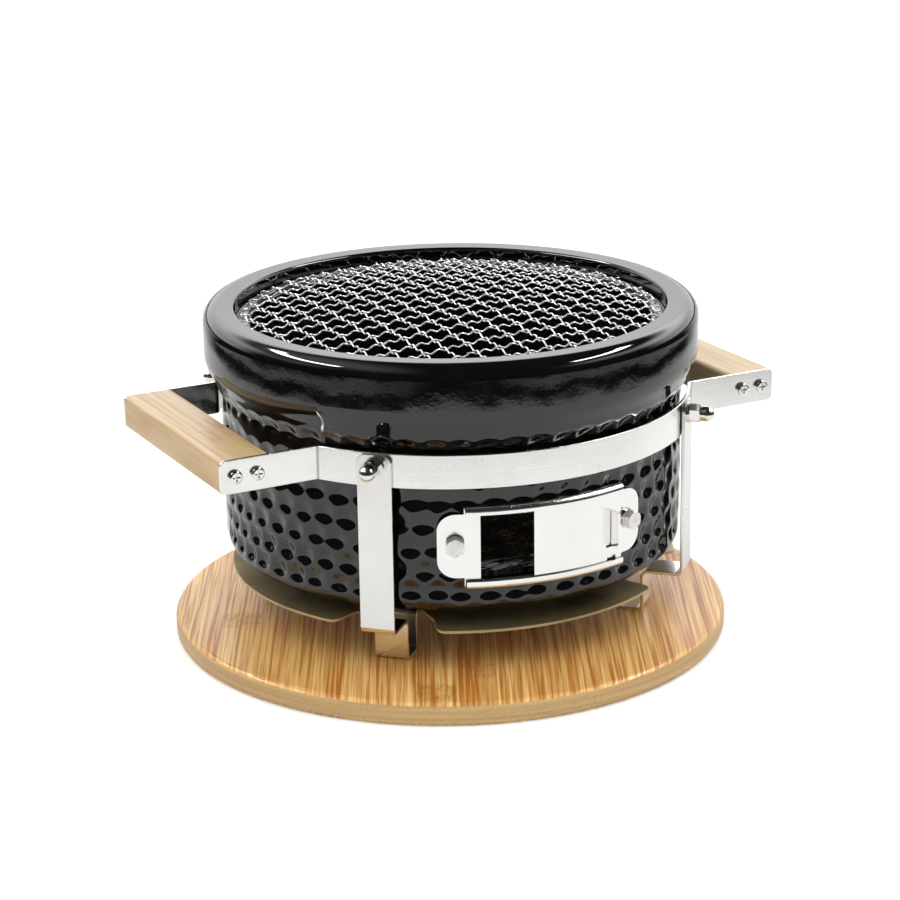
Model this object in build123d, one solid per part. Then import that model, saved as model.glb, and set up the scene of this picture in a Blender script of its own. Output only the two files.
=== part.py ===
from build123d import *
import math
import os

os.makedirs("parts", exist_ok=True)

# Portable tabletop charcoal grill. Millimetres, +Z up. The origin is the point where the
# axis of the round body meets the plane the board stands on. The vent faces -Y and the
# two handles reach out along -X and +X.

# ---- board the grill stands on ------------------------------------------------------
BOARD_RADIUS = 169.5
BOARD_THICKNESS = 14.0
BOARD_EDGE_ROUND = 4.0
BOARD_CENTRE = (-9.6, -12.4)          # the grill stands a little off the board's centre

# ---- ceramic body -------------------------------------------------------------------
RIM_TOP_Z = 201.4
RIM_LIP_RADIUS = 132.0
RIM_LIP_ROUND = 2.0
RIM_RADIUS = 150.0
RIM_TOP_ROUND = 8.5
RIM_SIDE_LOW_Z = 172.0
COLLAR_CURVE = [(149.1, 168.0), (147.4, 164.0), (145.3, 160.5), (143.9, 156.0), (142.2, 152.0)]
WALL_TOP = (139.8, 149.0)
WALL_BELLY = (140.2, 96.0)
WALL_LOW = (139.4, 58.5)
BODY_BOTTOM_Z = 50.5
BODY_BOTTOM_RADIUS = 134.0
FOOT_RING_OUTER_RADIUS = 98.0
FOOT_RING_INNER_RADIUS = 82.0
FLOOR_TOP_Z = 66.0
FLOOR_RADIUS = 119.0
CHAMBER_RADIUS = 127.0
CHAMBER_LOW_Z = 74.0
GRATE_LEDGE_RADIUS = 113.0
GRATE_LEDGE_TOP_Z = 121.0
GRATE_LEDGE_LOW_Z = 114.0
GRID_LEDGE_RADIUS = 121.0
GRID_LEDGE_TOP_Z = 190.4
GRID_LEDGE_LOW_Z = 182.0
GRID_LEDGE_TAPER = 8.0

# The body is kept as six rings stacked face to face, split where its section changes.
BODY_SPLITS = [
    ("ceramic_base", 0.0, FLOOR_TOP_Z),
    ("ceramic_lower_wall", FLOOR_TOP_Z, GRATE_LEDGE_LOW_Z),
    ("ceramic_grate_ledge", GRATE_LEDGE_LOW_Z, GRATE_LEDGE_TOP_Z),
    ("ceramic_upper_wall", GRATE_LEDGE_TOP_Z, GRID_LEDGE_LOW_Z - GRID_LEDGE_TAPER),
    ("ceramic_collar", GRID_LEDGE_LOW_Z - GRID_LEDGE_TAPER, GRID_LEDGE_TOP_Z),
    ("ceramic_rim", GRID_LEDGE_TOP_Z, RIM_TOP_Z),
]

# ---- cooking grid: woven wire on a flat ring ----------------------------------------
GRID_RING_OUTER_RADIUS = 128.4
GRID_RING_INNER_RADIUS = 122.6
GRID_RING_THICKNESS = 2.0
MESH_RADIUS = 127.0
MESH_WIRE = 1.3
MESH_PITCH = 14.0
MESH_LAYER = 2 * MESH_WIRE
MESH_RISE = 9.0
MESH_TURN = 1.5
MESH_HOOP = 1.6

# ---- charcoal grate -----------------------------------------------------------------
GRATE_RADIUS = 119.6
GRATE_THICKNESS = 3.0
GRATE_HOLE_RADIUS = 6.5
GRATE_HOLE_PITCH = 21.0
GRATE_HOLE_FIELD = 110.0

# ---- two half bands that grip the body and carry the handles ------------------------
BAND_RADIUS = 145.7
BAND_SHEET = 2.0
BAND_LOW_Z = 128.0
BAND_HEIGHT = 20.0
TAB_FACE_Y = 74.5
TAB_END_X = 185.0
TAB_CORNER_ROUND = 3.0

# ---- handles ------------------------------------------------------------------------
HANDLE_DEPTH = 31.0
HANDLE_EDGE_ROUND = 2.5
HANDLE_SCREW_SPACING = 13.5
SCREW_RADIUS = 2.0
SCREW_LENGTH = 22.0
SCREW_HEAD_RADIUS = 4.0
SCREW_HEAD_HEIGHT = 2.6
SCREW_HEAD_ROUND = 1.2
SCREW_CROSS_SPAN = 4.6
SCREW_CROSS_WIDTH = 1.0
SCREW_CROSS_DEPTH = 1.5
FIT_GAP = 0.05

# ---- strap legs ---------------------------------------------------------------------
LEG_ANGLES = {"front_left": -45.0, "front_right": 45.0, "rear_right": 135.0, "rear_left": -135.0}
STRAP_WIDTH = 20.5
STRAP_SHEET = 2.0
STRAP_FACE_RADIUS = 148.0
STRAP_TOP_Z = 147.2
STRAP_SHELF_Z = 41.0
STRAP_BEND = 3.4
STRAP_TOP_CORNER = 4.5
FOOT_OUTER_RADIUS = 123.6
FOOT_INNER_RADIUS = 105.4
STRAP_INNER_END_RADIUS = 58.0

# ---- metric fasteners ---------------------------------------------------------------
M6_RADIUS = 3.0
M6_ACROSS_FLATS = 10.0
M6_NUT_HEIGHT = 5.0
WASHER_RADIUS = 6.0
WASHER_THICKNESS = 1.6
LEG_BOLT_Z = 140.0
LEG_BOLT_HEAD_RADIUS = 5.5
LEG_BOLT_HEAD_HEIGHT = 3.2
LEG_BOLT_TIP_RADIUS = 158.0
CAP_NUT_HEX_HEIGHT = 6.0
CAP_NUT_HEIGHT = 14.0
CAP_NUT_DOME_RADIUS = 4.7
CAP_NUT_BORE_DEPTH = 9.5

# ---- sliding vent -------------------------------------------------------------------
VENT_ANGLE = -4.8
VENT_SHEET = 1.2
VENT_PLATE_RADIUS = 141.0
VENT_ARC_RADIUS = 143.0
VENT_HALF_ARC = 66.0
VENT_EAR_LOW_Z = 73.5
VENT_EAR_HIGH_Z = 111.7
VENT_EAR_ROUND = 10.0
VENT_MID_HALF_ARC = 50.5
VENT_LOW_Z = 66.8
VENT_HIGH_Z = 116.7
VENT_LIP = 5.0
VENT_BEND = 2.6
SLIDER_PLAY = 0.35
SLIDER_EDGE_GAP = 1.1
OPENING_ARCS = (-41.2, 6.0)
OPENING_LOW_Z = 72.0
OPENING_HIGH_Z = 111.0
OPENING_MARGIN = 1.5
SLIDER_ARCS = (-10.4, 49.6)
SLIDER_SLOT_ARCS = (37.6, 42.4)
SLIDER_SLOT_LOW_Z = 80.0
SLIDER_SLOT_HIGH_Z = 102.0
SLIDER_TAB_HEIGHT = 7.0
SLIDER_TAB_LEAN = 14.0
SLIDER_NOTCH_ARCS = (38.0, 45.0)
SLIDER_NOTCH_TOP_Z = 74.8
VENT_BOLT_ARC = 56.0
VENT_BOLT_Z = 93.5
VENT_BOLT_HEAD_HEIGHT = 4.6
VENT_BOLT_TIP_RADIUS = 115.5

# ---- heat shield under the body -----------------------------------------------------
SHIELD_RADIUS = 137.0
SHIELD_SHEET = 1.5
SHIELD_NOTCH = [(102.0, 12.0), (118.0, 25.0), (140.0, 34.0)]
SHIELD_NOTCH_ROUND = 6.0
SHIELD_CORNER_ROUND = 6.0
SHIELD_BOLT_RADIUS = 70.0
SHIELD_BOLT_HEAD_HEIGHT = 4.0
SHIELD_NUT_STICK_OUT = 1.5

# ---- derived ------------------------------------------------------------------------
GRID_RING_TOP_Z = GRID_LEDGE_TOP_Z + GRID_RING_THICKNESS
GRATE_REST_Z = GRATE_LEDGE_TOP_Z
BAND_MID_Z = BAND_LOW_Z + BAND_HEIGHT / 2
HANDLE_MID_X = TAB_END_X - HANDLE_DEPTH / 2
STRAP_REST_Z = BOARD_THICKNESS
SHIELD_TOP_Z = STRAP_SHELF_Z - STRAP_SHEET
VENT_FRONT_RADIUS = VENT_PLATE_RADIUS + VENT_SHEET
SLIDER_RADIUS = VENT_FRONT_RADIUS + SLIDER_PLAY
LIP_RADIUS = SLIDER_RADIUS + VENT_SHEET + SLIDER_PLAY
LIP_OUTER_RADIUS = LIP_RADIUS + VENT_SHEET
SWEEP = 400.0                         # longer than anything it cuts


# ---- helpers ------------------------------------------------------------------------
def turned(shape, angle):
    """Turn a shape built facing -Y about the body axis (positive toward +X)."""
    return shape.rotate(Axis.Z, angle)


def radial_cylinder(radius, near, far, z):
    """A round bar lying along -Y between two distances from the body axis."""
    bar = Cylinder(radius, far - near, align=(Align.CENTER, Align.CENTER, Align.MIN))
    return Pos(0, -near, z) * Rot(90, 0, 0) * bar


def radial_hexagon(flats, near, far, z):
    """A hexagonal bar lying along -Y, one corner up."""
    face = RegularPolygon(flats / 2, 6, major_radius=False, rotation=30)
    return Pos(0, -near, z) * Rot(90, 0, 0) * extrude(face, far - near)


def ring(inner, outer, low, high):
    """A plain round ring about the body axis."""
    centre = Pos(0, 0, (low + high) / 2)
    return centre * (Cylinder(outer, high - low) - Cylinder(inner, high - low))


def arc_x(arc):
    """Distance along X of a point an arc length away from the middle of the vent."""
    return VENT_ARC_RADIUS * math.sin(arc / VENT_ARC_RADIUS)


def front_window(arcs, low, high, rounding=0.0):
    """A block that cuts a window into the front of the body, sized by arc length."""
    left, right = arc_x(arcs[0]), arc_x(arcs[1])
    outline = Rectangle(right - left, high - low)
    if rounding:
        outline = fillet(outline.vertices(), rounding)
    block = extrude(Plane.XZ * outline, SWEEP)
    return Pos((left + right) / 2, 0, (low + high) / 2) * block


def arc_angle(arc):
    """Turn about the body axis that belongs to an arc length on the vent."""
    return math.degrees(arc / VENT_ARC_RADIUS)


def save(shape, name):
    """Write one named piece."""
    export_step(shape, f"parts/{name}.step")


# ---- the pieces ---------------------------------------------------------------------
def base_board():
    board = extrude(Circle(BOARD_RADIUS), BOARD_THICKNESS)
    board = fillet(board.edges(), BOARD_EDGE_ROUND)
    return Pos(*BOARD_CENTRE, 0) * board


def body_profile():
    """Half section of the body, distance from the axis against height."""
    rim_low = (RIM_RADIUS, RIM_SIDE_LOW_Z)
    rim_outer = (RIM_RADIUS, RIM_TOP_Z - RIM_TOP_ROUND)
    rim_flat = (RIM_RADIUS - RIM_TOP_ROUND, RIM_TOP_Z)
    lip_flat = (RIM_LIP_RADIUS + RIM_LIP_ROUND, RIM_TOP_Z)
    lip_inner = (RIM_LIP_RADIUS, RIM_TOP_Z - RIM_LIP_ROUND)
    foot_z = STRAP_SHELF_Z
    corner = math.sin(math.radians(45))
    top_round = (rim_flat[0] + RIM_TOP_ROUND * corner, rim_outer[1] + RIM_TOP_ROUND * corner)
    lip_round = (lip_flat[0] - RIM_LIP_ROUND * corner, lip_inner[1] + RIM_LIP_ROUND * corner)
    inside = [
        lip_inner,
        (RIM_LIP_RADIUS, GRID_LEDGE_TOP_Z),
        (GRID_LEDGE_RADIUS, GRID_LEDGE_TOP_Z),
        (GRID_LEDGE_RADIUS, GRID_LEDGE_LOW_Z),
        (CHAMBER_RADIUS, GRID_LEDGE_LOW_Z - GRID_LEDGE_TAPER),
        (CHAMBER_RADIUS, GRATE_LEDGE_TOP_Z),
        (GRATE_LEDGE_RADIUS, GRATE_LEDGE_TOP_Z),
        (GRATE_LEDGE_RADIUS, GRATE_LEDGE_LOW_Z),
        (CHAMBER_RADIUS, GRATE_LEDGE_LOW_Z),
        (CHAMBER_RADIUS, CHAMBER_LOW_Z),
        (FLOOR_RADIUS, FLOOR_TOP_Z),
        (0, FLOOR_TOP_Z),
        (0, BODY_BOTTOM_Z),
        (FOOT_RING_INNER_RADIUS, BODY_BOTTOM_Z),
        (FOOT_RING_INNER_RADIUS, foot_z),
        (FOOT_RING_OUTER_RADIUS, foot_z),
        (FOOT_RING_OUTER_RADIUS, BODY_BOTTOM_Z),
        (BODY_BOTTOM_RADIUS, BODY_BOTTOM_Z),
    ]
    with BuildSketch(Plane.XZ) as section:
        with BuildLine():
            Line(rim_flat, lip_flat)
            ThreePointArc(lip_flat, lip_round, lip_inner)
            Polyline(*inside)
            ThreePointArc((BODY_BOTTOM_RADIUS, BODY_BOTTOM_Z),
                          (WALL_LOW[0] - 1.4, BODY_BOTTOM_Z + 2.6), WALL_LOW)
            Spline(WALL_LOW, WALL_BELLY, WALL_TOP)
            Spline(WALL_TOP, *reversed(COLLAR_CURVE), rim_low)
            Line(rim_low, rim_outer)
            ThreePointArc(rim_outer, top_round, rim_flat)
        make_face()
    return section.sketch


def ceramic_body():
    body = revolve(body_profile(), Axis.Z)
    margin = OPENING_MARGIN
    arcs = (OPENING_ARCS[0] - margin, OPENING_ARCS[1] + margin)
    cuts = front_window(arcs, OPENING_LOW_Z - margin, OPENING_HIGH_Z + margin)
    for side in (-1, 1):
        hole = radial_cylinder(M6_RADIUS + FIT_GAP, VENT_BOLT_TIP_RADIUS, RIM_RADIUS, VENT_BOLT_Z)
        cuts += turned(hole, side * arc_angle(VENT_BOLT_ARC))
    return body - turned(cuts, VENT_ANGLE)


def ceramic_rings():
    """The body cut into its stacked rings, by name."""
    body = ceramic_body()
    layers = {}
    for name, low, high in BODY_SPLITS:
        slab = Pos(0, 0, (low + high) / 2) * Cylinder(SWEEP, high - low)
        layers[name] = body & slab
    return layers


def cooking_grid_rim():
    return ring(GRID_RING_INNER_RADIUS, GRID_RING_OUTER_RADIUS, GRID_LEDGE_TOP_Z, GRID_RING_TOP_Z)


def dome_shell():
    """The gently domed layer the woven wires fill, edge resting on the ring."""
    sphere_radius = (MESH_RADIUS ** 2 + MESH_RISE ** 2) / (2 * MESH_RISE)
    centre_z = GRID_RING_TOP_Z + MESH_RISE - sphere_radius
    layer = Sphere(sphere_radius + MESH_LAYER) - Sphere(sphere_radius)
    disc = Pos(0, 0, GRID_RING_TOP_Z) * Cylinder(
        MESH_RADIUS, 2 * (MESH_RISE + MESH_LAYER), align=(Align.CENTER, Align.CENTER, Align.MIN))
    return (Pos(0, 0, centre_z) * layer) & disc


def cooking_grid_mesh():
    """The woven wire as one lattice that follows the dome."""
    count = int(MESH_RADIUS // MESH_PITCH)
    bars = Sketch()
    for index in range(-count, count + 1):
        bars += Pos(index * MESH_PITCH, 0) * Rectangle(MESH_WIRE, 2 * MESH_RADIUS)
        bars += Pos(0, index * MESH_PITCH) * Rectangle(2 * MESH_RADIUS, MESH_WIRE)
    bars = Rot(0, 0, MESH_TURN) * bars & Circle(MESH_RADIUS)
    bars += Circle(MESH_RADIUS) - Circle(MESH_RADIUS - MESH_HOOP)
    lattice = Pos(0, 0, GRID_RING_TOP_Z) * extrude(bars, 2 * (MESH_RISE + MESH_LAYER))
    return lattice & dome_shell()


def charcoal_grate():
    plate = Circle(GRATE_RADIUS)
    rows = int(GRATE_HOLE_FIELD // GRATE_HOLE_PITCH)
    row_step = GRATE_HOLE_PITCH * math.sin(math.radians(60))
    holes = Sketch()
    for row in range(-rows - 1, rows + 2):
        shift = GRATE_HOLE_PITCH / 2 if row % 2 else 0.0
        for column in range(-rows - 1, rows + 2):
            x, y = column * GRATE_HOLE_PITCH + shift, row * row_step
            if math.hypot(x, y) + GRATE_HOLE_RADIUS < GRATE_HOLE_FIELD:
                holes += Pos(x, y) * Circle(GRATE_HOLE_RADIUS)
    return Pos(0, 0, GRATE_REST_Z) * extrude(plate - holes, GRATE_THICKNESS)


def handle_screw_places():
    """Distances along X of the two screws in each end of a handle."""
    return [HANDLE_MID_X + side * HANDLE_SCREW_SPACING / 2 for side in (-1, 1)]


def band_front():
    inner = BAND_RADIUS - BAND_SHEET
    back_y = TAB_FACE_Y - BAND_SHEET
    bend_x = math.sqrt(inner ** 2 - back_y ** 2)
    hoop = Circle(BAND_RADIUS) - Circle(inner)
    front_half = Pos(0, -back_y - BAND_RADIUS) * Rectangle(SWEEP, 2 * BAND_RADIUS)
    outline = hoop & front_half
    tab = Rectangle(TAB_END_X - bend_x, BAND_SHEET)
    for side in (-1, 1):
        outline += Pos(side * (TAB_END_X + bend_x) / 2, -TAB_FACE_Y + BAND_SHEET / 2) * tab
    band = Pos(0, 0, BAND_LOW_Z) * extrude(outline, BAND_HEIGHT)
    ends = [edge for edge in band.edges().filter_by(Axis.Y)
            if abs(edge.center().X) > TAB_END_X - FIT_GAP]
    band = fillet(ends, TAB_CORNER_ROUND)
    for name in ("front_left", "front_right"):
        hole = radial_cylinder(M6_RADIUS + FIT_GAP, inner / 2, SWEEP, LEG_BOLT_Z)
        band -= turned(hole, LEG_ANGLES[name])
    for x in handle_screw_places():
        for side in (-1, 1):
            hole = radial_cylinder(SCREW_RADIUS + FIT_GAP, back_y / 2, SWEEP, BAND_MID_Z)
            band -= Pos(side * x, 0, 0) * hole
    return band


def handle(side):
    length = 2 * (TAB_FACE_Y - BAND_SHEET)
    block = Box(HANDLE_DEPTH, length, BAND_HEIGHT)
    block = fillet(block.edges().filter_by(Axis.Y), HANDLE_EDGE_ROUND)
    grip = Pos(side * HANDLE_MID_X, 0, BAND_MID_Z) * block
    for x in handle_screw_places():
        for end in (0, 180):
            hole = radial_cylinder(SCREW_RADIUS + FIT_GAP, TAB_FACE_Y - SCREW_LENGTH - 1,
                                   TAB_FACE_Y, BAND_MID_Z)
            grip -= Pos(side * x, 0, 0) * turned(hole, end)
    return grip


def cross_screw():
    """Pan head screw with a cross recess, driven in from -Y, head on the band tab."""
    head = radial_cylinder(SCREW_HEAD_RADIUS, TAB_FACE_Y, TAB_FACE_Y + SCREW_HEAD_HEIGHT, 0)
    head = fillet(head.edges().sort_by(Axis.Y)[0], SCREW_HEAD_ROUND)
    arm = Box(SCREW_CROSS_SPAN, 2 * SCREW_CROSS_DEPTH, SCREW_CROSS_WIDTH)
    recess = arm + Rot(0, 90, 0) * arm
    shank = radial_cylinder(SCREW_RADIUS, TAB_FACE_Y - SCREW_LENGTH, TAB_FACE_Y + 1, 0)
    return head + shank - Pos(0, -TAB_FACE_Y - SCREW_HEAD_HEIGHT, 0) * recess


def handle_screws(side):
    screws = [Pos(side * x, 0, BAND_MID_Z) * turned(cross_screw(), end)
              for x in handle_screw_places() for end in (0, 180)]
    return Compound(screws)


def leg():
    """Flat strap: down the side, a step inward, a U foot and a shelf under the body."""
    half = STRAP_SHEET / 2
    shelf_z = STRAP_SHELF_Z - half
    outer_x = STRAP_FACE_RADIUS - half
    path = [
        (outer_x, STRAP_TOP_Z),
        (outer_x, shelf_z),
        (FOOT_OUTER_RADIUS - half, shelf_z),
        (FOOT_OUTER_RADIUS - half, STRAP_REST_Z + half),
        (FOOT_INNER_RADIUS + half, STRAP_REST_Z + half),
        (FOOT_INNER_RADIUS + half, shelf_z),
        (STRAP_INNER_END_RADIUS, shelf_z),
    ]
    with BuildPart() as strap:
        with BuildSketch(Plane.XZ):
            with BuildLine() as line:
                FilletPolyline(*path, radius=STRAP_BEND)
            trace(line.line, line_width=STRAP_SHEET)
        extrude(amount=STRAP_WIDTH / 2, both=True)
        corners = strap.part.edges().filter_by(Axis.X).group_by(Axis.Z)[-1]
        fillet(corners, STRAP_TOP_CORNER)
    facing_front = strap.part.rotate(Axis.Z, -90)
    facing_front -= radial_cylinder(M6_RADIUS + FIT_GAP, outer_x - STRAP_BEND, SWEEP, LEG_BOLT_Z)
    drop = Cylinder(M6_RADIUS + FIT_GAP, BODY_BOTTOM_Z)
    return facing_front - Pos(0, -SHIELD_BOLT_RADIUS, STRAP_SHELF_Z) * drop


def at_each_leg(piece):
    """Four copies of one fastener, one at each leg."""
    return Compound([turned(piece, angle) for angle in LEG_ANGLES.values()])


def leg_bolt():
    inner = BAND_RADIUS - BAND_SHEET
    seat = math.sqrt(inner ** 2 - LEG_BOLT_HEAD_RADIUS ** 2) - FIT_GAP
    head = radial_cylinder(LEG_BOLT_HEAD_RADIUS, seat - LEG_BOLT_HEAD_HEIGHT, seat, LEG_BOLT_Z)
    head = fillet(head.edges().sort_by(Axis.Y)[-1], LEG_BOLT_HEAD_HEIGHT / 2)
    shank = radial_cylinder(M6_RADIUS, seat - 1, LEG_BOLT_TIP_RADIUS, LEG_BOLT_Z)
    return head + shank


def flat_washer(near, z):
    """A plain washer whose inner face is a given distance from the body axis."""
    disc = radial_cylinder(WASHER_RADIUS, near, near + WASHER_THICKNESS, z)
    return disc - radial_cylinder(M6_RADIUS + FIT_GAP, near - 1, near + WASHER_THICKNESS + 1, z)


def chamfered_hexagon(near, far, z):
    """Hexagon with its far corners turned down, as on a nut or a bolt head."""
    corner = M6_ACROSS_FLATS / math.sqrt(3)
    cone = radial_cylinder(corner, near, far, z)
    cone = chamfer(cone.edges().sort_by(Axis.Y)[0], (corner - M6_ACROSS_FLATS / 2) * 0.7)
    return radial_hexagon(M6_ACROSS_FLATS, near, far, z) & cone


def cap_nut():
    near = STRAP_FACE_RADIUS + WASHER_THICKNESS
    shoulder = near + CAP_NUT_HEX_HEIGHT
    tip = near + CAP_NUT_HEIGHT
    nut = chamfered_hexagon(near, shoulder, LEG_BOLT_Z)
    dome_start = tip - CAP_NUT_DOME_RADIUS
    nut += radial_cylinder(CAP_NUT_DOME_RADIUS, shoulder - 1, dome_start, LEG_BOLT_Z)
    nut += Pos(0, -dome_start, LEG_BOLT_Z) * Sphere(CAP_NUT_DOME_RADIUS)
    bore = near + CAP_NUT_BORE_DEPTH
    return nut - radial_cylinder(M6_RADIUS + FIT_GAP, near - 1, bore, LEG_BOLT_Z)


def vent_outline():
    """The flattened plate of the vent: two rounded ears and a taller middle."""
    ear = Rectangle(2 * arc_x(VENT_HALF_ARC), VENT_EAR_HIGH_Z - VENT_EAR_LOW_Z)
    ear = fillet(ear.vertices(), VENT_EAR_ROUND)
    ear = Pos(0, (VENT_EAR_HIGH_Z + VENT_EAR_LOW_Z) / 2) * ear
    middle = Rectangle(2 * arc_x(VENT_MID_HALF_ARC), VENT_HIGH_Z - VENT_LOW_Z)
    return ear + Pos(0, (VENT_HIGH_Z + VENT_LOW_Z) / 2) * middle


def bent_channel(web_z, lip_z):
    """Sheet that steps out from the plate at one height and turns to a lip, all the way round."""
    start = (VENT_PLATE_RADIUS + VENT_SHEET / 2, web_z)
    corner = (LIP_RADIUS + VENT_SHEET / 2, web_z)
    with BuildPart() as channel:
        with BuildSketch(Plane.XZ):
            with BuildLine() as line:
                FilletPolyline(start, corner, (corner[0], lip_z), radius=VENT_BEND)
            trace(line.line, line_width=VENT_SHEET)
        revolve(axis=Axis.Z)
    return channel.part


def vent_frame():
    outline = extrude(Plane.XZ * vent_outline(), SWEEP)
    plate = ring(VENT_PLATE_RADIUS, VENT_FRONT_RADIUS, VENT_LOW_Z, VENT_HIGH_Z) & outline
    plate -= front_window(OPENING_ARCS, OPENING_LOW_Z, OPENING_HIGH_Z)
    half = VENT_SHEET / 2
    channels = bent_channel(VENT_LOW_Z + half, VENT_LOW_Z + VENT_LIP)
    channels += bent_channel(VENT_HIGH_Z - half, VENT_HIGH_Z - VENT_LIP)
    channels &= front_window((-VENT_MID_HALF_ARC, VENT_MID_HALF_ARC), VENT_LOW_Z, VENT_HIGH_Z)
    frame = plate + channels
    for side in (-1, 1):
        hole = radial_cylinder(M6_RADIUS + FIT_GAP, VENT_PLATE_RADIUS / 2, SWEEP, VENT_BOLT_Z)
        frame -= turned(hole, side * arc_angle(VENT_BOLT_ARC))
    return turned(frame, VENT_ANGLE)


def vent_slider():
    low = VENT_LOW_Z + VENT_SHEET + SLIDER_EDGE_GAP
    high = VENT_HIGH_Z - VENT_SHEET - SLIDER_EDGE_GAP
    sheet = ring(SLIDER_RADIUS, SLIDER_RADIUS + VENT_SHEET, low, high)
    slider = sheet & front_window(SLIDER_ARCS, low, high)
    slider -= front_window(SLIDER_SLOT_ARCS, SLIDER_SLOT_LOW_Z, SLIDER_SLOT_HIGH_Z)
    notch_middle = sum(SLIDER_NOTCH_ARCS) / 2
    notch_width = SLIDER_NOTCH_ARCS[1] - SLIDER_NOTCH_ARCS[0]
    notch = Box(notch_width, SWEEP, 2 * (SLIDER_NOTCH_TOP_Z - low))
    slider -= turned(Pos(0, -SWEEP / 2, low) * notch, arc_angle(notch_middle))
    tab = Box(VENT_SHEET, SLIDER_TAB_HEIGHT + VENT_SHEET / 2,
              SLIDER_SLOT_HIGH_Z - SLIDER_SLOT_LOW_Z,
              align=(Align.MIN, Align.MAX, Align.MIN))
    root = SLIDER_RADIUS + VENT_SHEET / 2
    tab = Pos(0, -root, SLIDER_SLOT_LOW_Z) * Rot(0, 0, -SLIDER_TAB_LEAN) * tab
    slider += turned(tab, arc_angle(SLIDER_SLOT_ARCS[1]))
    return turned(slider, VENT_ANGLE)


def at_each_ear(pieces):
    """Copies of the given fasteners at both ears of the vent."""
    angles = [VENT_ANGLE + side * arc_angle(VENT_BOLT_ARC) for side in (-1, 1)]
    return Compound([turned(piece, angle) for piece in pieces for angle in angles])


def vent_bolt():
    seat = VENT_FRONT_RADIUS + FIT_GAP + WASHER_THICKNESS
    head = chamfered_hexagon(seat, seat + VENT_BOLT_HEAD_HEIGHT, VENT_BOLT_Z)
    return head + radial_cylinder(M6_RADIUS, VENT_BOLT_TIP_RADIUS, seat + 1, VENT_BOLT_Z)


def inner_washer_face():
    """Where the inside washer stops against the hollow of the chamber wall."""
    return math.sqrt(CHAMBER_RADIUS ** 2 - WASHER_RADIUS ** 2) - FIT_GAP


def hex_nut(near, z):
    nut = chamfered_hexagon(near, near + M6_NUT_HEIGHT, z)
    return nut - radial_cylinder(M6_RADIUS + FIT_GAP, near - 1, near + M6_NUT_HEIGHT + 1, z)


def heat_shield():
    """Thin disc with four notches that let the feet pass."""
    outline = [(radius, half) for radius, half in SHIELD_NOTCH]
    outline += [(radius, -half) for radius, half in reversed(SHIELD_NOTCH)]
    notch = Polygon(*outline, align=None)
    corners = notch.vertices().group_by(Axis.X)[:-1]
    notch = fillet([corner for group in corners for corner in group], SHIELD_NOTCH_ROUND)
    plate = Circle(SHIELD_RADIUS)
    for angle in LEG_ANGLES.values():
        plate -= Rot(0, 0, angle - 90) * notch
    outer = [vertex for vertex in plate.vertices()
             if math.hypot(vertex.X, vertex.Y) > SHIELD_RADIUS - FIT_GAP]
    plate = fillet(outer, SHIELD_CORNER_ROUND)
    for angle in LEG_ANGLES.values():
        plate -= Rot(0, 0, angle - 90) * Pos(SHIELD_BOLT_RADIUS, 0) * Circle(M6_RADIUS + FIT_GAP)
    return Pos(0, 0, SHIELD_TOP_Z - SHIELD_SHEET) * extrude(plate, SHIELD_SHEET)


def shield_bolt():
    low = SHIELD_TOP_Z - SHIELD_SHEET - M6_NUT_HEIGHT - SHIELD_NUT_STICK_OUT
    head = extrude(RegularPolygon(M6_ACROSS_FLATS / 2, 6, major_radius=False),
                   SHIELD_BOLT_HEAD_HEIGHT)
    bolt = Pos(0, 0, STRAP_SHELF_Z) * head
    shank = extrude(Circle(M6_RADIUS), STRAP_SHELF_Z - low + 1)
    return Pos(0, -SHIELD_BOLT_RADIUS, 0) * (bolt + Pos(0, 0, low) * shank)


def shield_nut():
    face = RegularPolygon(M6_ACROSS_FLATS / 2, 6, major_radius=False)
    nut = extrude(face - Circle(M6_RADIUS + FIT_GAP), -M6_NUT_HEIGHT)
    return Pos(0, -SHIELD_BOLT_RADIUS, SHIELD_TOP_Z - SHIELD_SHEET) * nut


def main():
    save(base_board(), "base_board")
    for name, layer in ceramic_rings().items():
        save(layer, name)
    save(cooking_grid_mesh(), "cooking_grid_mesh")
    save(cooking_grid_rim(), "cooking_grid_rim")
    save(charcoal_grate(), "charcoal_grate")
    front = band_front()
    save(front, "band_front")
    save(turned(front, 180), "band_rear")
    for side, name in ((-1, "left"), (1, "right")):
        save(handle(side), f"handle_{name}")
        save(handle_screws(side), f"handle_screws_{name}")
    strap = leg()
    for name, angle in LEG_ANGLES.items():
        save(turned(strap, angle), f"leg_{name}")
    save(at_each_leg(leg_bolt()), "leg_bolts")
    save(at_each_leg(flat_washer(STRAP_FACE_RADIUS, LEG_BOLT_Z)), "leg_washers")
    save(at_each_leg(cap_nut()), "leg_cap_nuts")
    save(vent_frame(), "vent_frame")
    save(vent_slider(), "vent_slider")
    inner_face = inner_washer_face() - WASHER_THICKNESS
    washers = [flat_washer(VENT_FRONT_RADIUS + FIT_GAP, VENT_BOLT_Z),
               flat_washer(inner_face, VENT_BOLT_Z)]
    save(at_each_ear([vent_bolt()]), "vent_bolts")
    save(at_each_ear(washers), "vent_washers")
    save(at_each_ear([hex_nut(inner_face - M6_NUT_HEIGHT, VENT_BOLT_Z)]), "vent_nuts")
    save(heat_shield(), "heat_shield")
    save(at_each_leg(shield_bolt()), "shield_bolts")
    save(at_each_leg(shield_nut()), "shield_nuts")


main()
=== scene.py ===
"""Looks of a portable tabletop grill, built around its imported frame.

Lengths inside the classes are millimetres, in the frame's own axes: the body axis is Z, the
board stands on z = 0, the vent faces -Y. They are turned into metres when a mesh is made.
Angles about the body axis start at -Y and grow toward +X.
"""

import logging
import math
from dataclasses import dataclass, field
from enum import Enum
from typing import Callable, List, Optional, Sequence, Tuple, Union

import bmesh
import bpy
import numpy as np
from mathutils import Matrix


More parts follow.
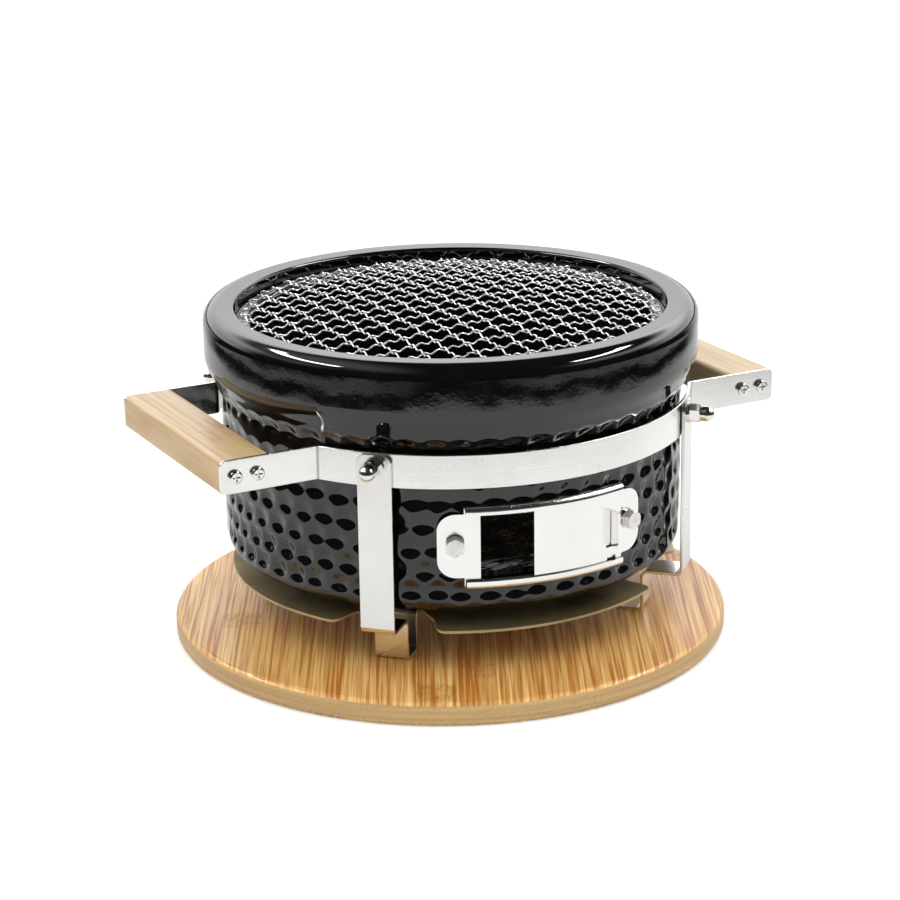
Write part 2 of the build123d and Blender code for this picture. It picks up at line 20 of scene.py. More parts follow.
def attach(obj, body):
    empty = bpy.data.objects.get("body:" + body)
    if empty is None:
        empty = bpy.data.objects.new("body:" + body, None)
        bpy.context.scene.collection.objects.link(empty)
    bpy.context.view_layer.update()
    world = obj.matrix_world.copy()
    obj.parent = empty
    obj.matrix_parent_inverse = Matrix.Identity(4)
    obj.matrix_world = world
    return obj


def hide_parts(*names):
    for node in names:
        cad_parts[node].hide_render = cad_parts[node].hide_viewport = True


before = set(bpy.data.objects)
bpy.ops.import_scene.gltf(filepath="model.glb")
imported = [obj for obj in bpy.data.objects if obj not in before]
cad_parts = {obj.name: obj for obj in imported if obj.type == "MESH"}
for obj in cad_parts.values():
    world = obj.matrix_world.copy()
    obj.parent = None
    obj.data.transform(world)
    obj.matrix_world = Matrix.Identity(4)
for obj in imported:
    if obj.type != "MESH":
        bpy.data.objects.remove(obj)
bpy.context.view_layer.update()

log = logging.getLogger("grill")
MM = 0.001
Colour = Tuple[float, float, float]
Point = Tuple[float, float]
Array = np.ndarray
Material = bpy.types.Material
Socket = bpy.types.NodeSocket
Value = Union[float, Colour, Sequence[float], Socket]


# ---- arrays and meshes ----
def smooth_through(points: Sequence[Point], at: Array) -> Array:
    """Smooth curve through points.

    Piecewise cubic: each span blends its end heights and end slopes with the four Hermite
    weights; the slope at a point is the mean slope of its two spans.

    Args:
        points: (position, height) pairs, positions growing.
        at: positions to evaluate.
    Returns:
        The heights at those positions.
    """
    x, y = np.array(points, float).T
    steps = np.diff(y) / np.diff(x)
    slopes = np.concatenate([steps[:1], (steps[1:] + steps[:-1]) / 2, steps[-1:]])
    span = np.clip(np.searchsorted(x, at) - 1, 0, len(x) - 2)
    width = x[span + 1] - x[span]
    t = (at - x[span]) / width
    return (
        (2 * t**3 - 3 * t**2 + 1) * y[span]
        + (t**3 - 2 * t**2 + t) * width * slopes[span]
        + (3 * t**2 - 2 * t**3) * y[span + 1]
        + (t**3 - t**2) * width * slopes[span + 1]
    )


def rounded_path(points: Sequence[Point], radii: Union[float, Sequence[float]],
                 steps: int = 6, guard: float = 0.0) -> Array:
    """Polyline whose corners are replaced by arcs.

    At a corner the arc leaves each run at radius times the tangent of half the turn, and its
    points are the centre plus radius times the cosine and sine of an angle that sweeps from
    one run's normal to the other's.

    Args:
        points: corners of the path.
        radii: one radius, or one for each inner corner.
        steps: spans in each arc.
        guard: distance of one extra point on each side of an arc, 0 for none.
    Returns:
        An (n, 2) array.
    """
    p = np.array(points, float)
    inner = len(p) - 2
    sizes = [float(radii)] * inner if np.isscalar(radii) else list(radii)
    out: List[Array] = [p[:1]]
    for k, radius in zip(range(1, len(p) - 1), sizes):
        if radius <= 0:
            out.append(p[k:k + 1])
            continue
        a = (p[k - 1] - p[k]) / np.linalg.norm(p[k - 1] - p[k])
        b = (p[k + 1] - p[k]) / np.linalg.norm(p[k + 1] - p[k])
        half = math.acos(float(np.clip(a @ b, -1, 1))) / 2
        reach = radius / math.tan(half)
        middle = (a + b) / np.linalg.norm(a + b)
        centre = p[k] + middle * radius / math.sin(half)
        start, end = p[k] + a * reach - centre, p[k] + b * reach - centre
        sweep = math.pi - 2 * half
        t = np.linspace(0, 1, steps + 1)[:, None]
        arc = (np.sin((1 - t) * sweep) * start + np.sin(t * sweep) * end) / math.sin(sweep)
        if guard:
            out.append((p[k] + a * (reach + guard))[None])
        out.append(centre + arc)
        if guard:
            out.append((p[k] + b * (reach + guard))[None])
    out.append(p[-1:])
    return np.concatenate(out)


def grid_quads(rows: int, columns: int, wrap: bool) -> Array:
    """Quads of a grid of vertices numbered row by row.

    Args:
        rows: vertex rows.
        columns: vertices in a row.
        wrap: whether the last column joins the first.
    Returns:
        An (n, 4) array of vertex numbers, turning the same way.
    """
    r = np.arange(rows - 1)[:, None]
    c = np.arange(columns if wrap else columns - 1)[None]
    nxt = (c + 1) % columns
    quads = np.stack([r * columns + c, r * columns + nxt,
                      (r + 1) * columns + nxt, (r + 1) * columns + c], axis=-1)
    return quads.reshape(-1, 4)


def new_piece(name: str, points: Array, faces: Sequence[Sequence[int]], body: str,
              material: Material, stands_for: Sequence[str] = (),
              crease: float = 38.0) -> bpy.types.Object:
    """Makes a mesh object and hands it to the frame.

    Args:
        name: the piece's name.
        points: (n, 3) vertices in millimetres.
        faces: vertex numbers of each face.
        body: the body that it rides on.
        material: its finish.
        stands_for: CAD nodes that it replaces.
        crease: edges that turn more than this many degrees stay sharp.
    Returns:
        The object.
    """
    mesh = bpy.data.meshes.new(name)
    mesh.from_pydata((points * MM).tolist(), [], [list(map(int, f)) for f in faces])
    work = bmesh.new()
    work.from_mesh(mesh)
    bmesh.ops.recalc_face_normals(work, faces=work.faces)
    work.to_mesh(mesh)
    work.free()
    mesh.shade_smooth()
    mesh.set_sharp_from_angle(angle=math.radians(crease))
    mesh.materials.append(material)
    piece = bpy.data.objects.new(name, mesh)
    bpy.context.scene.collection.objects.link(piece)
    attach(piece, body)
    if stands_for:
        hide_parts(*stands_for)
    triangles = sum(len(f) - 2 for f in faces)
    log.info("%s: %d triangles on %s", name, triangles, body)
    return piece


def about_axis(radius: Array, height: Array, angle: Array) -> Array:
    """Points from distance, height and angle about the body axis, angle 0 facing -Y."""
    return np.stack([radius * np.sin(angle), -radius * np.cos(angle), height], axis=-1)


def revolve(profile: Array, columns: int) -> Tuple[Array, Array]:
    """Closed ring from a closed section, given as (distance, height) points."""
    angle = np.linspace(0, 2 * math.pi, columns, endpoint=False)[None]
    radius, height, turn = np.broadcast_arrays(profile[:, :1], profile[:, 1:], angle)
    points = about_axis(radius, height, turn)
    rows = len(profile)
    quads = grid_quads(rows + 1, columns, True) % (rows * columns)
    return points.reshape(-1, 3), quads


# ---- finishes ----
class Nodes:
    """Writes a node tree, node by node."""

    def __init__(self, tree: bpy.types.NodeTree) -> None:
        """Takes the tree to write in."""
        self.tree = tree

    def node(self, kind: str) -> bpy.types.Node:
        """New shader node of a kind."""
        return self.tree.nodes.new("ShaderNode" + kind)

    def link(self, value: Value, socket: Socket) -> None:
        """Feeds a socket from another socket or with a constant."""
        if isinstance(value, Socket):
            self.tree.links.new(value, socket)
        elif isinstance(value, (tuple, list)) and socket.type == "RGBA":
            socket.default_value = (*value[:3], 1.0)
        else:
            socket.default_value = value

    def point(self, turn: float = 0.0, scale: Sequence[float] = (1, 1, 1),
              centre: Sequence[float] = (0, 0, 0)) -> Socket:
        """Object coordinates, moved so that centre is at 0, turned about Z and stretched.

        Args:
            turn: degrees about Z.
            scale: stretch along the turned axes.
            centre: point in metres.
        Returns:
            The vector socket.
        """
        place = self.node("TexCoord").outputs["Object"]
        for location, angle, stretch in (([-c for c in centre], 0.0, (1, 1, 1)),
                                         ((0, 0, 0), turn, (1, 1, 1)), ((0, 0, 0), 0.0, scale)):
            if not any(location) and not angle and tuple(stretch) == (1, 1, 1):
                continue
            node = self.node("Mapping")
            node.inputs["Location"].default_value = location
            node.inputs["Rotation"].default_value = (0, 0, math.radians(angle))
            node.inputs["Scale"].default_value = stretch
            self.link(place, node.inputs["Vector"])
            place = node.outputs["Vector"]
        return place

    def noise(self, at: Socket, scale: float, detail: float = 2.0,
              roughness: float = 0.5, distortion: float = 0.0) -> Socket:
        """Cloudy noise from 0 to 1 at a point."""
        node = self.node("TexNoise")
        for name, value in (("Scale", scale), ("Detail", detail), ("Roughness", roughness),
                            ("Distortion", distortion)):
            node.inputs[name].default_value = value
        self.link(at, node.inputs["Vector"])
        return node.outputs["Fac"]

    def cells(self, at: Socket, scale: float, output: str = "Distance",
              dimensions: str = "3D") -> Socket:
        """Cell pattern at a point: distance from, or a random colour of, the nearest seed."""
        node = self.node("TexVoronoi")
        node.voronoi_dimensions = dimensions
        node.inputs["Scale"].default_value = scale
        self.link(at, node.inputs["W" if dimensions == "1D" else "Vector"])
        return node.outputs[output]

    def math(self, kind: str, a: Value, b: Value = 0.0, c: Value = 0.0) -> Socket:
        """One arithmetic step."""
        node = self.node("Math")
        node.operation = kind
        for socket, value in zip(node.inputs, (a, b, c)):
            self.link(value, socket)
        return node.outputs[0]

    def times(self, first: Value, *others: Value) -> Socket:
        """Product of its arguments, taken from the left."""
        for other in others:
            first = self.math("MULTIPLY", first, other)
        return first

    def plus(self, a: Value, b: Value) -> Socket:
        """Sum."""
        return self.math("ADD", a, b)

    def minus(self, a: Value, b: Value) -> Socket:
        """Difference."""
        return self.math("SUBTRACT", a, b)

    def over(self, a: Value, b: Value) -> Socket:
        """Quotient."""
        return self.math("DIVIDE", a, b)

    def size(self, a: Value) -> Socket:
        """Size without its sign."""
        return self.math("ABSOLUTE", a)

    def length(self, x: Value, y: Value) -> Socket:
        """Length of a flat vector."""
        return self.math("SQRT", self.plus(self.times(x, x), self.times(y, y)))

    def remap(self, value: Value, low: float, high: float, to_low: float = 0.0,
              to_high: float = 1.0, soft: bool = False) -> Socket:
        """Carries low..high onto to_low..to_high, clamped, with soft ends if asked."""
        node = self.node("MapRange")
        node.interpolation_type = "SMOOTHSTEP" if soft else "LINEAR"
        for name, number in (("From Min", low), ("From Max", high), ("To Min", to_low),
                             ("To Max", to_high)):
            node.inputs[name].default_value = number
        self.link(value, node.inputs["Value"])
        return node.outputs["Result"]

    def mix(self, share: Value, a: Value, b: Value, kind: str = "MIX") -> Socket:
        """Mixes two colours."""
        node = self.node("Mix")
        node.data_type = "RGBA"
        node.blend_type = kind
        self.link(share, node.inputs[0])
        self.link(a, node.inputs[6])
        self.link(b, node.inputs[7])
        return node.outputs[2]

    def split(self, vector: Socket) -> Tuple[Socket, ...]:
        """The three parts of a vector."""
        node = self.node("SeparateXYZ")
        self.link(vector, node.inputs[0])
        return node.outputs[0], node.outputs[1], node.outputs[2]


class Painter(Nodes):
    """Writes one procedural material."""

    def __init__(self, name: str) -> None:
        """Starts a material with its one shader."""
        self.material = bpy.data.materials.new(name)
        self.material.use_nodes = True
        super().__init__(self.material.node_tree)
        self.shader = self.tree.nodes["Principled BSDF"]

    def set(self, **sockets: Value) -> None:
        """Sets shader sockets by name, with underscores for spaces."""
        for name, value in sockets.items():
            self.link(value, self.shader.inputs[name.replace("_", " ")])

    def bump(self, height: Socket, depth: float, strength: float = 1.0,
             under: Optional[Socket] = None) -> Socket:
        """Surface relief of a given depth in metres, over another relief if given."""
        node = self.node("Bump")
        node.inputs["Strength"].default_value = strength
        node.inputs["Distance"].default_value = depth
        self.link(height, node.inputs["Height"])
        if under is not None:
            self.link(under, node.inputs["Normal"])
        self.link(node.outputs[0], self.shader.inputs["Normal"])
        return node.outputs[0]


class Grain(Enum):
    """Where the cut face of a bamboo piece shows its layers."""

    BOARD = "rim"
    HANDLE = "ends"


@dataclass(frozen=True)
class Bamboo:
    """Laminated bamboo: strips side by side, each with fibres along it and joints across."""

    name: str
    light: Colour
    dark: Colour
    knot: Colour
    turn: float
    strip: float
    grain: Grain
    centre: Tuple[float, float, float] = (0.0, 0.0, 0.0)
    roughness: float = 0.34
    streak: float = 0.95
    cut_tone: Colour = (0.42, 0.31, 0.17)

    def make(self) -> Material:
        """Builds the material; fibres run along the turned Y axis."""
        p = Painter(self.name)
        x, y, _ = p.split(p.point(self.turn, centre=self.centre))
        wander = p.noise(p.point(self.turn, (1, 0.25, 1)), 18.0, 2.0)
        side = p.math("MULTIPLY_ADD", wander, 0.0025, x)
        strip = p.math("FLOOR", p.over(side, self.strip))
        tone = p.cells(p.math("MULTIPLY_ADD", strip, 1.37, 0.21), 1.0, "Color", "1D")
        tint, shift, pick = p.split(tone)
        fine = p.noise(p.point(self.turn, (620, 9, 60)), 1.0, 2.0, 0.6)
        broad = p.noise(p.point(self.turn, (260, 5, 40)), 1.0, 2.0, 0.55)
        fibre = p.plus(p.remap(fine, 0.45, 0.57, 0, 0.62), p.remap(broad, 0.44, 0.56, 0, 0.45))
        base = p.mix(p.times(fibre, self.streak), self.light, self.dark)
        base = p.mix(p.remap(tint, 0, 1, 0.0, 0.26), base, self.dark)
        along = p.plus(p.over(y, 0.21), shift)
        nearest = p.size(p.minus(p.math("FRACT", along), 0.5))
        joint = p.remap(nearest, 0.035, 0.075, 1.0, 0.0, True)
        chosen = p.remap(pick, 0.50, 0.56)
        flecks = p.noise(p.point(self.turn, (420, 170, 120)), 1.0, 3.0, 0.7, 0.6)
        speck = p.times(joint, chosen, p.remap(flecks, 0.40, 0.60))
        base = p.mix(p.times(speck, 0.6), base, self.knot)
        place = p.math("FRACT", p.over(side, self.strip))
        gap = p.size(p.minus(place, 0.5))
        seam = p.remap(gap, 0.488, 0.499)
        base = p.mix(p.times(seam, 0.35), base, self.knot)
        cut = self.cut_share(p)
        pores = p.noise(p.point(0.0, (1400, 1400, 1400)), 1.0, 2.0, 0.6)
        face = p.mix(p.remap(pores, 0.4, 0.65, 0, 0.5), self.light, self.dark)
        layer = p.noise(p.point(0.0, (6, 6, 420)), 1.0, 2.0, 0.5, 0.3)
        face = p.mix(p.remap(layer, 0.42, 0.62, 0, 0.45), face, self.knot)
        face = p.mix(0.5, face, self.cut_tone)
        p.set(Base_Color=p.mix(cut, base, face), IOR=1.48, Coat_Weight=0.22, Coat_Roughness=0.28)
        p.set(Roughness=p.remap(fine, 0.3, 0.7, self.roughness - 0.05, self.roughness + 0.12))
        p.bump(fine, 0.00012, 0.5)
        return p.material

    def cut_share(self, p: Painter) -> Value:
        """How much a point shows the cut edge of the strips: on a face that looks sideways
        for a board, and lengthways for a handle."""
        normal = p.node("NewGeometry").outputs["Normal"]
        _, ny, nz = p.split(normal)
        if self.grain is Grain.BOARD:
            return p.remap(p.size(nz), 0.45, 0.75, 1.0, 0.0, True)
        return p.remap(p.size(ny), 0.7, 0.9, 0.0, 1.0, True)


@dataclass(frozen=True)
class Glaze:
    """Thick black glaze with a faint orange-peel surface."""

    name: str
    colour: Colour
    roughness: float

    def make(self) -> Material:
        """Builds the material."""
        p = Painter(self.name)
        at = p.point()
        haze = p.noise(at, 35.0, 3.0, 0.6)
        dull = tuple(1.8 * c for c in self.colour)
        p.set(Base_Color=p.mix(p.remap(haze, 0.45, 0.8), self.colour, dull), IOR=1.66)
        smear = p.noise(at, 90.0, 3.0, 0.6)
        p.set(Roughness=p.remap(smear, 0.45, 0.85, self.roughness, self.roughness + 0.05))
        under = p.bump(p.noise(at, 70.0, 1.0, 0.4), 0.00014, 0.40)
        p.bump(p.noise(at, 420.0, 2.0, 0.55), 0.00003, 0.35, under)
        return p.material


@dataclass(frozen=True)
class ScorchedClay:
    """Bare clay of the fire chamber: soot, brown specks, and pale streaks of painted light at the
    wall's foot, which stand for light falling in through the vent window.
    """

    name: str
    soot: Colour
    speck: Colour
    # colour and radius ring of the pale streaks of painted light at the wall's foot
    lit_streak_colour: Colour
    lit_streak_ring: Tuple[float, float]
    roughness: float = 0.85

    def make(self) -> Material:
        """Builds the material; the pale streaks of painted light lie low, outside a radius."""
        p = Painter(self.name)
        at = p.point()
        x, y, z = p.split(at)
        radius = p.length(x, y)
        grit = p.noise(at, 420.0, 4.0, 0.75)
        patch = p.noise(at, 45.0, 2.0, 0.5)
        share = p.times(p.remap(grit, 0.54, 0.66), p.remap(patch, 0.42, 0.60))
        share = p.times(share, p.remap(z, 0.106, 0.113, 1.0, 0.0))
        colour = p.mix(share, self.soot, self.speck)
        # painted light: pale streaks low at the wall's foot, all round, stand for light falling
        # in through the vent window
        streak_noise = p.noise(p.point(0.0, (90, 260, 420)), 1.0, 4.0, 0.7, 0.8)
        low = p.times(p.remap(radius, *self.lit_streak_ring), p.remap(z, 0.072, 0.084, 1.0, 0.0))
        lit_streaks = p.times(p.remap(streak_noise, 0.47, 0.58), low)
        p.set(Base_Color=p.mix(lit_streaks, colour, self.lit_streak_colour), Specular_IOR_Level=0.12)
        p.set(Roughness=p.remap(grit, 0.3, 0.7, self.roughness - 0.2, self.roughness + 0.1))
        p.bump(grit, 0.0012, 0.8)
        return p.material


@dataclass(frozen=True)
class SheetSteel:
    """Rolled stainless sheet with fine brushing, faint cloudiness and a few scuffs."""

    name: str
    colour: Colour
    roughness: float
    spread: float
    brush: Tuple[float, float, float]
    stain: Colour = (0.62, 0.56, 0.48)
    stain_share: float = 0.12
    relief: float = 0.00003
    metal: float = 1.0
    # fold: where a line of painted shade runs along the bend, standing for its dark reflection;
    # fold_shade_colour: the colour of that painted shade
    fold: Optional[Point] = None
    fold_shade_colour: Colour = (0.42, 0.40, 0.36)

    def make(self) -> Material:
        """Builds the material; brush gives how fast the brushing varies along each axis."""
        p = Painter(self.name)
        at = p.point()
        lines = p.noise(p.point(0.0, self.brush), 1.0, 2.0, 0.6)
        cloud = p.noise(at, 24.0, 3.0, 0.55)
        scuff = p.remap(p.noise(at, 130.0, 4.0, 0.75, 1.5), 0.62, 0.74)
        share = p.times(p.remap(cloud, 0.42, 0.7), self.stain_share)
        colour = p.mix(share, self.colour, self.stain)
        # painted shade: darkens the colour along the fold line
        if self.fold:
            colour = p.mix(self.fold_shade_line(p, at), colour, self.fold_shade_colour)
        p.set(Base_Color=colour, Metallic=self.metal)
        rough = p.math("MULTIPLY_ADD", lines, self.spread, self.roughness - self.spread / 2)
        rough = p.math("MULTIPLY_ADD", scuff, 0.08, rough)
        p.set(Roughness=p.math("MULTIPLY_ADD", cloud, 0.06, rough))
        p.bump(lines, self.relief, 0.6)
        return p.material

    def fold_shade_line(self, p: Painter, at: Socket) -> Socket:
        """A dark line of painted shade where the sheet was folded, standing for the dark
        reflection in the tight bend: near the fold's axis, mirrored in X and Y.
        """
        x, y, _ = p.split(at)
        dx = p.minus(p.size(x), self.fold[0])
        dy = p.minus(p.size(y), self.fold[1])
        away = p.length(dx, dy)
        return p.remap(away, 0.00155, 0.00195, 0.8, 0.0, soft=True)


@dataclass(frozen=True)
class Plating:
    """Bright plated steel with tiny pits and rubbed spots."""

    name: str
    colour: Colour
    roughness: float
    tarnish: Colour = (0.45, 0.40, 0.33)
    metal: float = 1.0

    def make(self) -> Material:
        """Builds the material."""
        p = Painter(self.name)
        at = p.point()
        cloud = p.noise(at, 220.0, 3.0, 0.6)
        pits = p.noise(at, 1500.0, 2.0, 0.6)
        p.set(Base_Color=p.mix(p.remap(cloud, 0.5, 0.8, 0, 0.5), self.colour, self.tarnish))
        rough = p.remap(cloud, 0.3, 0.8, self.roughness, self.roughness + 0.12)
        p.set(Metallic=self.metal, Roughness=rough)
        p.bump(pits, 0.00002, 0.4)
        return p.material


# ---- the ceramic body ----
@dataclass
class Dimples:
    """Hollows pressed into the wall by hand, in staggered rows."""

    rows: Tuple[float, ...] = (64.0, 77.0, 91.2, 105.4, 119.4, 133.2, 151.5)
    count: int = 58
    half_width: float = 9.3
    half_up: float = 8.6
    half_down: float = 8.2
    depth: float = 1.85
    seed: int = 11

    def depth_at(self, angle: Array, height: Array, radius: float) -> Array:
        """Depth of the wall below its crests.

        A hollow is a bell: half of one plus the cosine of pi times the distance from its
        middle, measured in its own half width, upper and lower half height, and nothing
        past one. Where hollows meet, the deeper one wins, so a thin crest stays between.

        Args:
            angle: angles about the body axis.
            height: heights in millimetres, same shape.
            radius: radius at which arc lengths are measured.
        Returns:
            Depths in millimetres, same shape.
        """
        rng = np.random.default_rng(self.seed)
        pitch = 2 * math.pi / self.count
        total = np.zeros_like(angle)
        for row, middle in enumerate(self.rows):
            start = (row % 2) * 0.5 + rng.uniform(-0.16, 0.16)
            sway = rng.normal(0, 0.06, self.count)
            lift = rng.normal(0, 0.6, self.count)
            size = 1 + rng.normal(0, 0.05, self.count)
            deep = 1 + rng.normal(0, 0.12, self.count) + 0.4 * min(max((95 - middle) / 30, 0), 1)
            place = angle / pitch - start
            for step in (-1, 0, 1):
                cell = np.round(place).astype(int) + step
                k = cell % self.count
                across = (place - cell - sway[k]) * pitch * radius / (self.half_width * size[k])
                up = (height - middle - lift[k]) / size[k]
                up = np.where(up > 0, up / self.half_up, up / self.half_down)
                away = np.clip(np.sqrt(across**2 + up**2), 0, 1)
                bell = (1 + np.cos(math.pi * away)) / 2
                total = np.maximum(total, deep[k] * bell)
        return self.depth * total


@dataclass
class CeramicBody:
    """The fired body: foot ring, dimpled wall, smooth collar and rim, two ledges inside."""

    material: Material
    chamber: Material
    columns: int = 600
    dimples: Dimples = field(default_factory=Dimples)
    wall: Tuple[Point, ...] = ((58.5, 139.4), (96, 140.2), (149, 139.8))
    collar: Tuple[Point, ...] = ((146, 139.8), (149, 140.2), (152, 141.9), (156, 143.9),
                                 (160.5, 145.4), (164, 147.2), (168, 149.1), (172, 150.0))
    underside: float = 50.5
    foot: Tuple[float, float, float] = (82.0, 98.0, 41.0)
    rim_radius: float = 150.0
    rim_edge: float = 192.3
    rim_top: float = 201.4
    rim_inner_top: float = 200.5
    seat: Tuple[float, float, float] = (130.6, 121.0, 190.4)
    chamber_radius: float = 127.0
    ledge: Tuple[float, float, float] = (113.0, 114.0, 121.0)
    floor_height: float = 66.0
    dimpled: Point = (53.5, 158.5)
    shrink: float = 0.104
    window_x: Point = (-42.1, 7.5)
    window_z: Point = (70.5, 112.5)
    vent_turn: float = -4.8
    wall_radius: float = 140.0
    chamber_top: float = 172.0
    nodes: Tuple[str, ...] = ("ceramic_base", "ceramic_lower_wall", "ceramic_grate_ledge",
                              "ceramic_upper_wall", "ceramic_collar", "ceramic_rim")

    def outer_wall(self) -> Array:
        """Crest line of the wall from above its lower round to below the rim's top round."""
        low, high = self.window_z
        heights = np.concatenate([
            np.linspace(57, low, 11)[:-1], np.linspace(low, high, 32)[:-1],
            np.linspace(high, 161, 37)[:-1], np.linspace(161, 174, 9)[:-1],
            np.linspace(174, self.rim_edge, 8)])
        plain = smooth_through(self.wall, np.clip(heights, 58.5, 149))
        flare = smooth_through(self.collar, np.clip(heights, 146, 172))
        share = np.clip((heights - 145) / 4, 0, 1)
        radius = plain * (1 - share) + flare * share
        radius[0] -= 0.35
        return np.stack([radius, heights], axis=-1)

    def section(self) -> Tuple[Array, int, int, int, int]:
        """Half section from the middle of the underside round to the middle of the floor.

        Returns:
            The (distance, height) points, then the first and last row of the window on the
            outside and on the inside.
        """
        base, (foot_in, foot_out, foot_z) = self.underside, self.foot
        under = rounded_path([(0, base), (foot_in, base), (foot_in, foot_z), (foot_out, foot_z),
                              (foot_out, base), (134.2, base), (138.6, 55.1), (139.0, 56.9)],
                             [1.2, 2.2, 2.2, 1.2, 4.5, 2.0], 3)[1:-1]
        wall = self.outer_wall()
        rim, bore, sill = self.rim_radius, self.chamber_radius, self.window_z[1]
        seat_out, seat_in, seat_z = self.seat
        ledge_in, ledge_low, ledge_high = self.ledge
        top = rounded_path([(rim, self.rim_edge), (rim, self.rim_top),
                            (seat_out, self.rim_inner_top), (seat_out, seat_z),
                            (seat_in, seat_z), (seat_in, 182), (bore, 174), (bore, ledge_high),
                            (ledge_in, ledge_high), (ledge_in, ledge_low), (bore, ledge_low),
                            (bore, sill)],
                           [8.5, 1.8, 1.0, 1.2, 2.0, 3.0, 1.0, 1.4, 1.4, 0.6], 7, 0.35)[1:-1]
        inner = np.array([(bore, sill), (bore, 98), (bore, 85), (bore, 74),
                          (123.5, self.window_z[0])], float)
        low = self.floor_height
        floor = np.array([(121, 68.0), (118, 66.2), (112, low), (60, low), (0, low)], float)
        rows = np.concatenate([[(0, base)], under, wall, top, inner, floor])
        first = 1 + len(under)
        outer_low = first + int(np.argmin(abs(wall[:, 1] - self.window_z[0])))
        outer_high = first + int(np.argmin(abs(wall[:, 1] - self.window_z[1])))
        inner_high = first + len(wall) + len(top)
        return rows, outer_low, outer_high, inner_high, inner_high + len(inner) - 1

    def angles(self) -> Tuple[Array, int]:
        """Angles of the columns, the first ones spread over the window, and their number."""
        turn = math.radians(self.vent_turn)
        ends = [math.asin(x / self.wall_radius) + turn for x in self.window_x]
        share = (ends[1] - ends[0]) / (2 * math.pi)
        over = int(round(share * self.columns))
        window = np.linspace(ends[0], ends[1], over + 1)
        rest = np.linspace(ends[1], ends[0] + 2 * math.pi, self.columns - over + 1)[1:-1]
        return np.concatenate([window, rest]), over

    def build(self) -> bpy.types.Object:
        """Carries the section round the axis, presses the dimples and opens the window.

        Distance from the axis is the section's, less the dimple depth on the wall, plus two
        slow waves round the axis that stand for turning by hand.
        """
        rows, outer_low, outer_high, inner_high, inner_low = self.section()
        angle, over = self.angles()
        n, m = len(rows), len(angle)
        a, h = np.meshgrid(angle, rows[:, 1])
        r = np.repeat(rows[:, :1], m, axis=1)
        outside = np.zeros(n)
        outside[1:inner_high] = rows[1:inner_high, 0] > 133
        low, high = self.dimpled
        fade = np.clip((h - low) / 3.5, 0, 1) * np.clip((high - h) / 5, 0, 1)
        press = self.dimples.depth_at(a, h, self.wall_radius) * fade * outside[:, None]
        swing = 0.06 * np.sin(3 * a + 0.05 * h) + 0.03 * np.sin(11 * a + 1 - 0.08 * h)
        swing += 0.014 * np.sin(23 * a + 0.12 * h)
        r = np.where(r > 20, r - press - (self.shrink + swing) * outside[:, None], r)
        sag = 0.5 * np.sin(17 * a) * np.exp(-((h - 54) / 4) ** 2) * outside[:, None]
        points = about_axis(r, h + sag, a)
        quads = grid_quads(n, m, True).reshape(n - 1, m, 4)
        keep = np.ones((n - 1, m), bool)
        keep[0] = keep[-1] = False
        keep[outer_low:outer_high, :over] = False
        keep[inner_high:inner_low, :over] = False
        faces = quads[keep].tolist()
        cols = np.arange(m)
        faces += np.stack([0 * cols, m + (cols + 1) % m, m + cols], axis=-1).tolist()
        last = (n - 1) * m
        faces += np.stack([0 * cols + last, last - m + cols, last - m + (cols + 1) % m],
                          -1).tolist()
        c = np.arange(over)
        for out_row, in_row in ((outer_high, inner_high), (outer_low, inner_low)):
            faces += np.stack([out_row * m + c, out_row * m + c + 1,
                               in_row * m + c + 1, in_row * m + c], -1).tolist()
        for column in (0, over):
            up = [row * m + column for row in range(outer_low, outer_high + 1)]
            down = [row * m + column for row in range(inner_high, inner_low + 1)]
            faces.append(up + down)
        flat = points.reshape(-1, 3)
        used = np.unique(np.concatenate([np.array(f) for f in faces]))
        number = np.full(len(flat), -1)
        number[used] = np.arange(len(used))
        faces = [number[np.array(f)].tolist() for f in faces]
        shell = new_piece("ceramic_shell", flat[used], faces, "grill",
                          self.material, self.nodes, 50.0)
        self.bare_chamber(shell)
        return shell

    def bare_chamber(self, shell: bpy.types.Object) -> None:
        """Gives the faces of the fire chamber the bare clay: those whose middle lies inside
        the chamber's radius and between its floor and its top."""
        shell.data.materials.append(self.chamber)
        middles = np.zeros(3 * len(shell.data.polygons), np.float32)
        shell.data.polygons.foreach_get("center", middles)
        x, y, z = middles.reshape(-1, 3).T / MM
        inside = np.hypot(x, y) < self.chamber_radius + 0.6
        bare = inside & (z > self.floor_height - 0.5) & (z < self.chamber_top)
        shell.data.polygons.foreach_set("material_index", bare.astype(np.int32))


